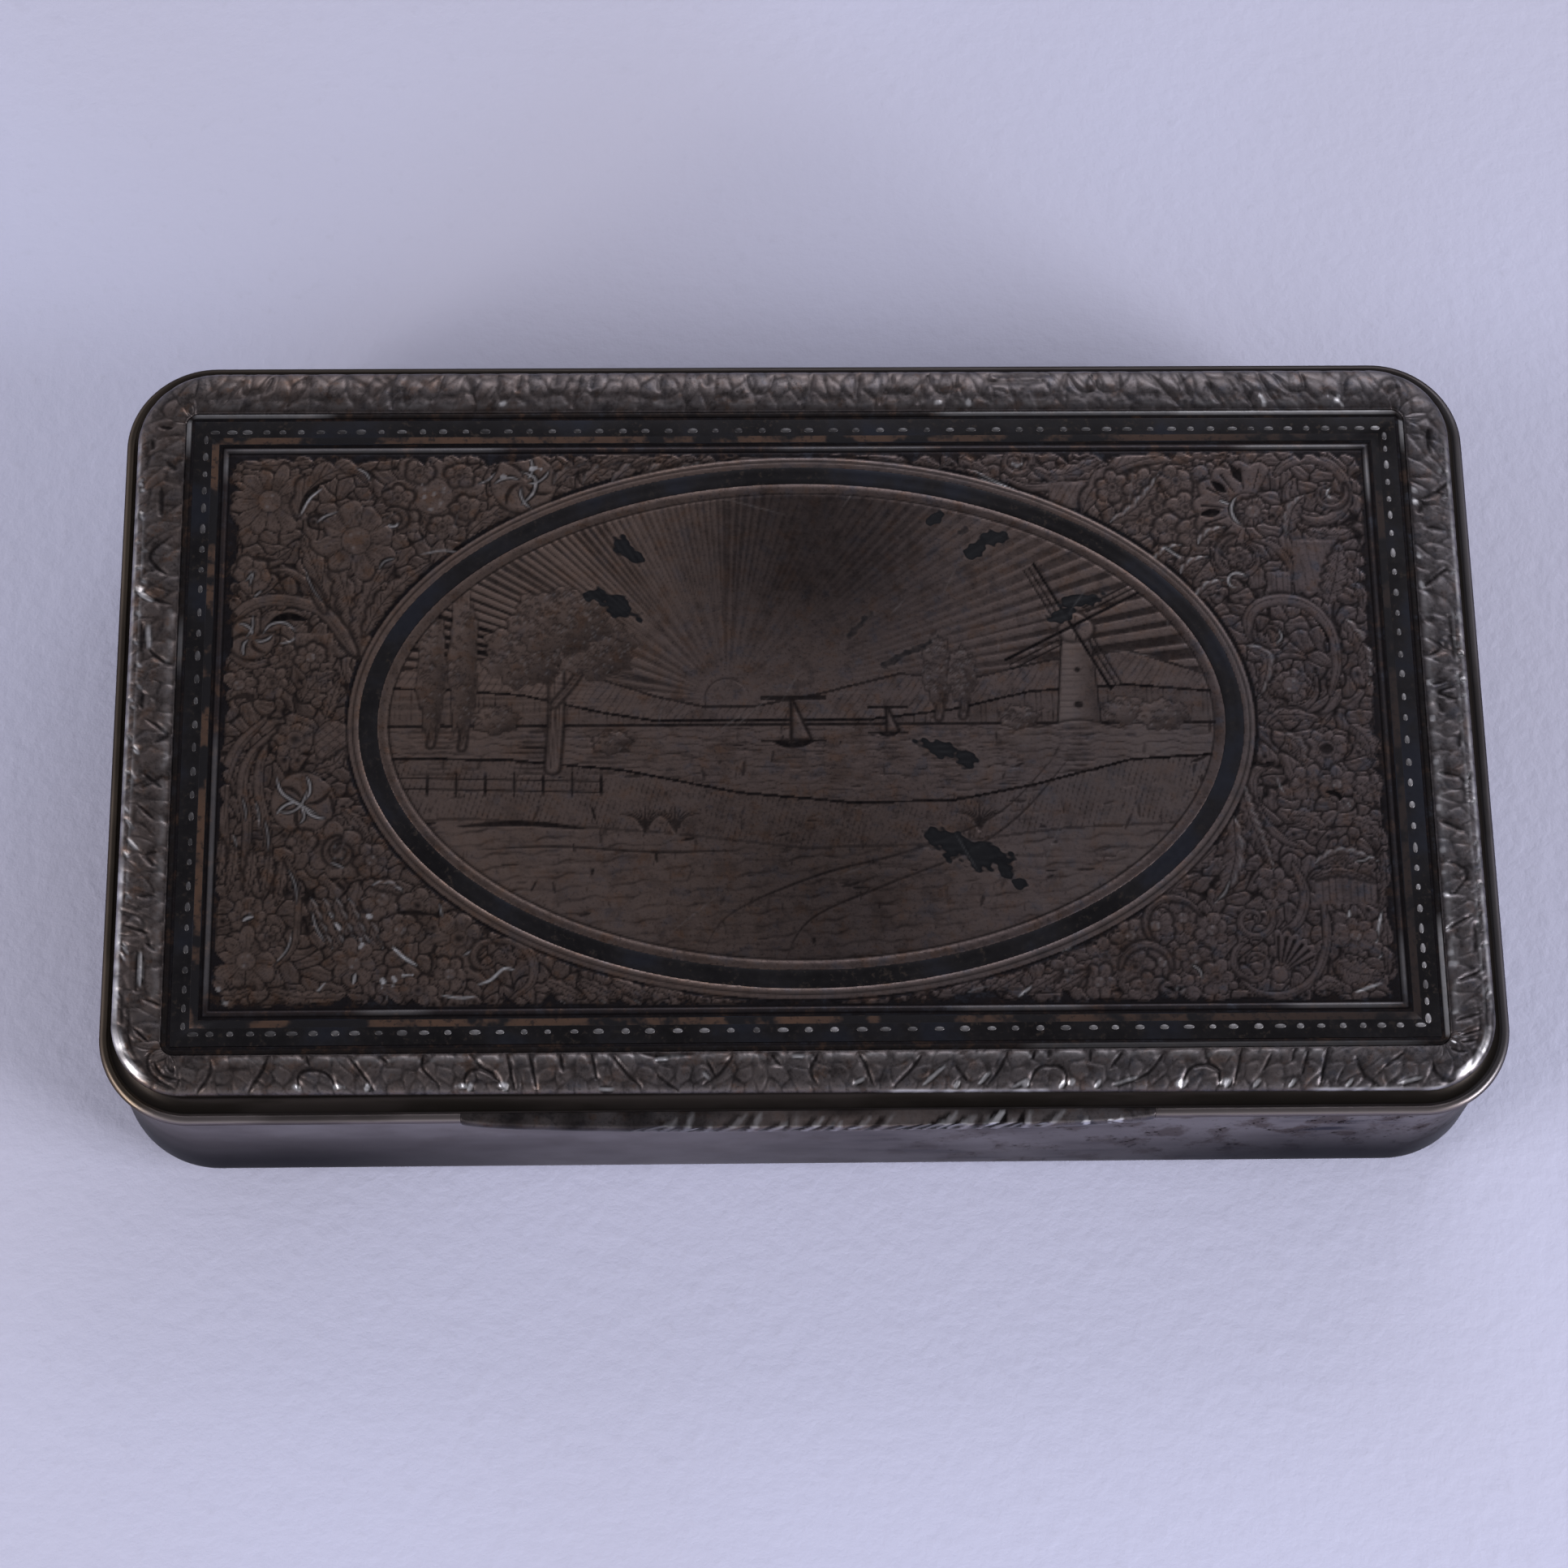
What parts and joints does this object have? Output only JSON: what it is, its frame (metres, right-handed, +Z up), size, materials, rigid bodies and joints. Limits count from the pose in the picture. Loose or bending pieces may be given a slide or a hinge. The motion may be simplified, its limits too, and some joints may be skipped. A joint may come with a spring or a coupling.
{
  "type": "snuff box",
  "caption": "Oblong pocket snuff box in aged silver, with a chased border and black inlay on a lid that opens on a concealed hinge.",
  "frame": {"origin": "middle of the flat base, on the surface that the box stands on", "axes": "+Z up, +X along the box to the right seen from the front, -Y towards the front with the thumbpiece, +Y towards the hinge"},
  "size_m": [0.084, 0.0501, 0.0144],
  "materials": {
    "silver_body": "aged plain silver, satin with fine wear",
    "silver_lid": "aged polished silver, tarnished in the hollow",
    "chased_silver": "chased silver, dark in the cuts and bright on the high edges",
    "engraved_silver": "engraved silver under brown tarnish, black in the cuts",
    "niello": "black inlay, polished flush, satin",
    "gilt_inside": "thin worn gilding on silver",
    "hinge_wire": "drawn wire"
  },
  "bodies": {
    "body": {"body_band": "silver_body", "base_plate": "silver_body", "body_bezel": "gilt_inside", "body_hinge_bearer": "gilt_inside", "body_knuckle_1": "silver_body", "body_knuckle_2": "silver_body", "body_knuckle_3": "silver_body", "body_knuckle_4": "silver_body", "body_knuckle_5": "silver_body", "hinge_pin": "hinge_wire", "pin_plug_left": "silver_body", "pin_plug_right": "silver_body"},
    "lid": {"lid_shell": "silver_lid", "lid_panel": "engraved_silver", "lid_border": "chased_silver", "niello_frame": "niello", "niello_oval": "niello", "lid_hinge_bearer": "silver_lid", "lid_knuckle_1": "silver_lid", "lid_knuckle_2": "silver_lid", "lid_knuckle_3": "silver_lid", "lid_knuckle_4": "silver_lid", "thumbpiece": "chased_silver"}
  },
  "joints": [
    {"name": "lid_hinge", "type": "hinge", "parent": "body", "child": "lid", "pos_m": [0, 0.02363, 0.01078], "axis": [-1, 0, 0], "range_deg": [0, 105]}
  ]
}
